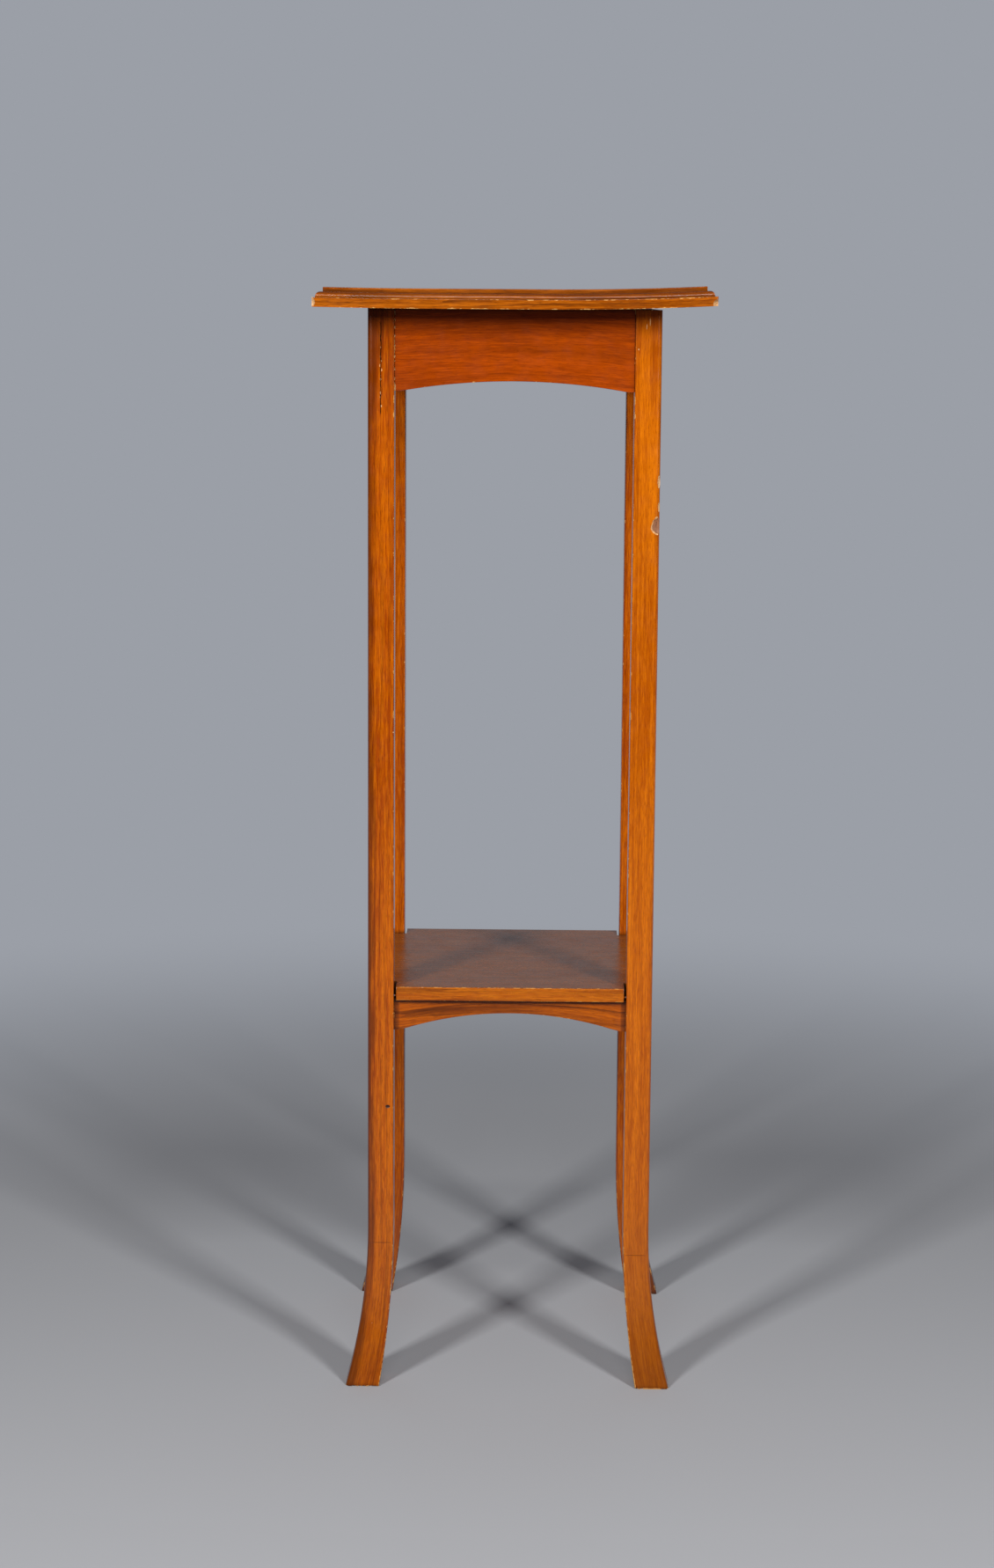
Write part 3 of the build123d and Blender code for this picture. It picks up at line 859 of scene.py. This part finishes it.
def rearward(tree, place, start, stop, most=1.0):
    """From 0 in front to the most behind, between two places along Y."""
    behind = add(tree, "ShaderNodeSeparateXYZ", {0: place}, out="Y")
    return add(tree, "ShaderNodeMapRange", {"Value": behind, "From Min": start, "From Max": stop,
                                            "To Max": most}, interpolation_type="SMOOTHSTEP")


scene = bpy.context.scene
world = bpy.data.worlds.new("studio")
scene.world = world
world.use_nodes = True
sky = world.node_tree
sky.nodes.clear()
direction = add(sky, "ShaderNodeTexCoord", out="Generated")
to_camera = add(sky, "ShaderNodeLightPath", out="Is Camera Ray")
pale_share = add(sky, "ShaderNodeMath",
                 {0: to_camera, 1: rearward(sky, direction, PALE_FROM, PALE_TO, PALE_MOST)},
                 operation="MAXIMUM")
sky_colour = add(sky, "ShaderNodeMix",
                 {FACTOR: pale_share, FIRST: DARK_ROOM, SECOND: BACKGROUND}, **COLOURS)
to_matt = add(sky, "ShaderNodeLightPath", out="Is Diffuse Ray")
strength = add(sky, "ShaderNodeMath", {0: to_matt, 1: FILL_GAIN, 2: 1.0}, operation="MULTIPLY_ADD")
backdrop = add(sky, "ShaderNodeBackground", {"Color": sky_colour, "Strength": strength})
add(sky, "ShaderNodeOutputWorld", {"Surface": backdrop}, out=None)
print("world:", world.name, len(sky.nodes), "nodes")

# %% [markdown]
# The studio floor is a wide matt disc. Close to the stand it takes the shadow, and further out it
# turns into the grey of the backdrop, so that there is no horizon. It throws less light up than it
# shows, as a dull cloth does.

# %% Floor
FLOOR_RADIUS = 9.0
FLOOR_NEAR, FLOOR_FAR = 0.6, 2.0
FLOOR_PALE, FLOOR_DULL = "b6b7ba", "7c7d80"
MIRRORED_FROM, MIRRORED_TO = -1.2, -0.2    # along Y, where reflections begin to see the floor pale

floor_mesh = bpy.data.meshes.new("floor")
bm = bmesh.new()
bmesh.ops.create_circle(bm, cap_ends=True, radius=FLOOR_RADIUS, segments=96)
bm.to_mesh(floor_mesh)
bm.free()
floor = bpy.data.objects.new("floor", floor_mesh)
scene.collection.objects.link(floor)


def seen_in(tree, mirrored):
    """1 for rays of the camera, a share for reflections and through glass, 0 for other rays."""
    path = add(tree, "ShaderNodeLightPath", out=None)
    bounced = add(tree, "ShaderNodeMath",
                  {0: path["Is Glossy Ray"], 1: path["Is Transmission Ray"]}, operation="MAXIMUM")
    share = add(tree, "ShaderNodeMath", {0: bounced, 1: mirrored}, operation="MULTIPLY")
    return add(tree, "ShaderNodeMath", {0: path["Is Camera Ray"], 1: share}, operation="MAXIMUM")


matt = bpy.data.materials.new("matt_floor")
matt.use_nodes = True
floor_tree = matt.node_tree
floor_tree.nodes.clear()
floor_place = add(floor_tree, "ShaderNodeTexCoord", out="Object")
away = add(floor_tree, "ShaderNodeVectorMath", {0: floor_place}, operation="LENGTH", out="Value")
fade = add(floor_tree, "ShaderNodeMapRange",
           {"Value": away, "From Min": FLOOR_NEAR, "From Max": FLOOR_FAR},
           interpolation_type="SMOOTHSTEP")
seen = seen_in(floor_tree, rearward(floor_tree, floor_place, MIRRORED_FROM, MIRRORED_TO))
floor_colour = add(floor_tree, "ShaderNodeMix",
                   {FACTOR: seen, FIRST: FLOOR_DULL, SECOND: FLOOR_PALE}, **COLOURS)
near = add(floor_tree, "ShaderNodeBsdfDiffuse", {"Color": floor_colour})
glow = add(floor_tree, "ShaderNodeEmission", {"Color": BACKGROUND, "Strength": 1.0})
far_share = add(floor_tree, "ShaderNodeMath", {0: fade, 1: seen}, operation="MULTIPLY")
floor_shader = add(floor_tree, "ShaderNodeMixShader", {0: far_share, 1: near, 2: glow})
add(floor_tree, "ShaderNodeOutputMaterial", {"Surface": floor_shader}, out=None)
floor_mesh.materials.append(matt)
print("floor radius:", FLOOR_RADIUS, "m")

# %% [markdown]
# Two large soft lamps stand left and right of the camera, a little above the top of the stand. They
# give the short soft shadow under the top and the two crossing shadows on the shelf. A narrow lamp
# above the camera draws the bright line along the quarter round.

# %% Lamps
LAMP_AWAY, LAMP_TURN, LAMP_HEIGHT = 2.6, math.radians(31), 1.72
LAMP_SIZE, LAMP_POWER, LAMP_AIM = (0.34, 0.8), 46, (0, 0, 0.7)
UPPER_PLACE, UPPER_AIM = (0, -2.2, 2.7), (0, 0, 0.9)
UPPER_SIZE, UPPER_POWER = (0.9, 0.25), 10


def lamp(name, place, aim, size, power):
    """A soft rectangular lamp that faces a point."""
    light = bpy.data.lights.new(name, "AREA")
    light.shape, light.size, light.size_y, light.energy = "RECTANGLE", *size, power
    holder = bpy.data.objects.new(name, light)
    holder.location = place
    holder.rotation_euler = (Vector(aim) - Vector(place)).to_track_quat("-Z", "Y").to_euler()
    scene.collection.objects.link(holder)
    print(name, [round(v, 2) for v in place], power, "W")


for name, turn in (("left_lamp", -LAMP_TURN), ("right_lamp", LAMP_TURN)):
    spot = (LAMP_AWAY * math.sin(turn), -LAMP_AWAY * math.cos(turn), LAMP_HEIGHT)
    lamp(name, spot, LAMP_AIM, LAMP_SIZE, LAMP_POWER)
lamp("upper_lamp", UPPER_PLACE, UPPER_AIM, UPPER_SIZE, UPPER_POWER)

# %% [markdown]
# The camera stands where the photographer's did, fitted from the straight edges of the stand: 2.8 m
# in front, at the height of the top, looking down by 9 degrees. Its lens follows from the fitted
# focal length in pixels and the long side of the picture.

# %% Camera
PICTURE_HEIGHT_PX = 1782
FOCAL_PX = 3409.6
SENSOR = 36.0
CAMERA_X, CAMERA_Y, CAMERA_Z = -14.7 * MM, -2834.7 * MM, 1011.9 * MM
LOOK_DOWN, LEAN, STAND_TURN = 0.162, 0.0068, 0.0109

camera_data = bpy.data.cameras.new("camera")
camera_data.sensor_width = SENSOR
camera_data.lens = FOCAL_PX / PICTURE_HEIGHT_PX * SENSOR
camera = bpy.data.objects.new("camera", camera_data)
turned = Matrix.Rotation(STAND_TURN, 4, "Z")
camera.matrix_world = (turned @ Matrix.Translation((CAMERA_X, CAMERA_Y, CAMERA_Z))
                       @ Matrix.Rotation(math.pi / 2 - LOOK_DOWN, 4, "X")
                       @ Matrix.Rotation(LEAN, 4, "Z"))
scene.collection.objects.link(camera)
scene.camera = camera
scene.view_settings.view_transform = "Standard"
print("lens", round(camera_data.lens, 2), "mm, camera at", [round(v, 3) for v in camera.location])
